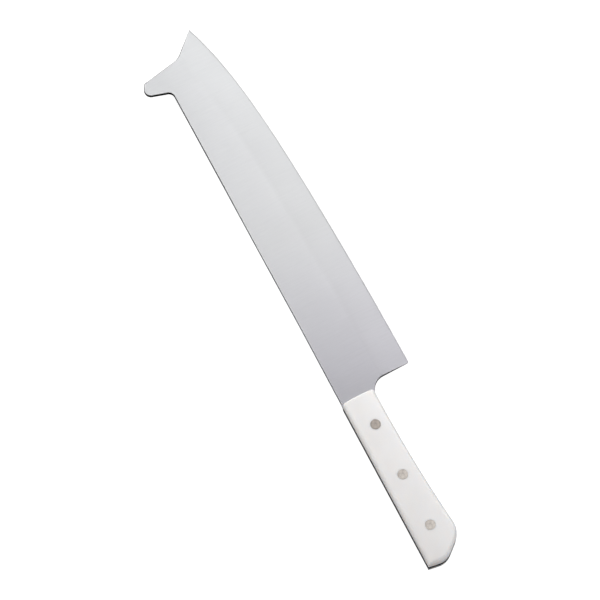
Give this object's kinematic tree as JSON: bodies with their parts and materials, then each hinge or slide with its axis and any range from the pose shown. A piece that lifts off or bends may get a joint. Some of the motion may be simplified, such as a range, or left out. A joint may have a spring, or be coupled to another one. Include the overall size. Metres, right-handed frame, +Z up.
{
  "type": "frozen food knife",
  "caption": "Long wide kitchen knife for cutting frozen food, with a pressing horn at the nose of the blade, a full tang and a riveted white two-scale handle.",
  "frame": {"origin": "centre of the knife's bounding box at its lowest face, the outer face of the lower handle scale, with the knife lying flat on its side", "axes": "+X along the knife towards the tip of the blade, +Y from the cutting edge towards the spine and horn, +Z up, at right angles to the blade"},
  "size_m": [0.4416, 0.0756, 0.02],
  "materials": {
    "blade_steel": "fine satin grind across the blade",
    "handle_plastic": "white moulded, soft sheen",
    "rivet_metal": "nickel silver, faced flush and satin"
  },
  "bodies": {
    "root": {"blade_with_tang": "blade_steel", "handle_scale_upper": "handle_plastic", "handle_scale_lower": "handle_plastic", "rivet_front_male": "rivet_metal", "rivet_front_female": "rivet_metal", "rivet_middle_male": "rivet_metal", "rivet_middle_female": "rivet_metal", "rivet_rear_male": "rivet_metal", "rivet_rear_female": "rivet_metal"}
  },
  "joints": []
}
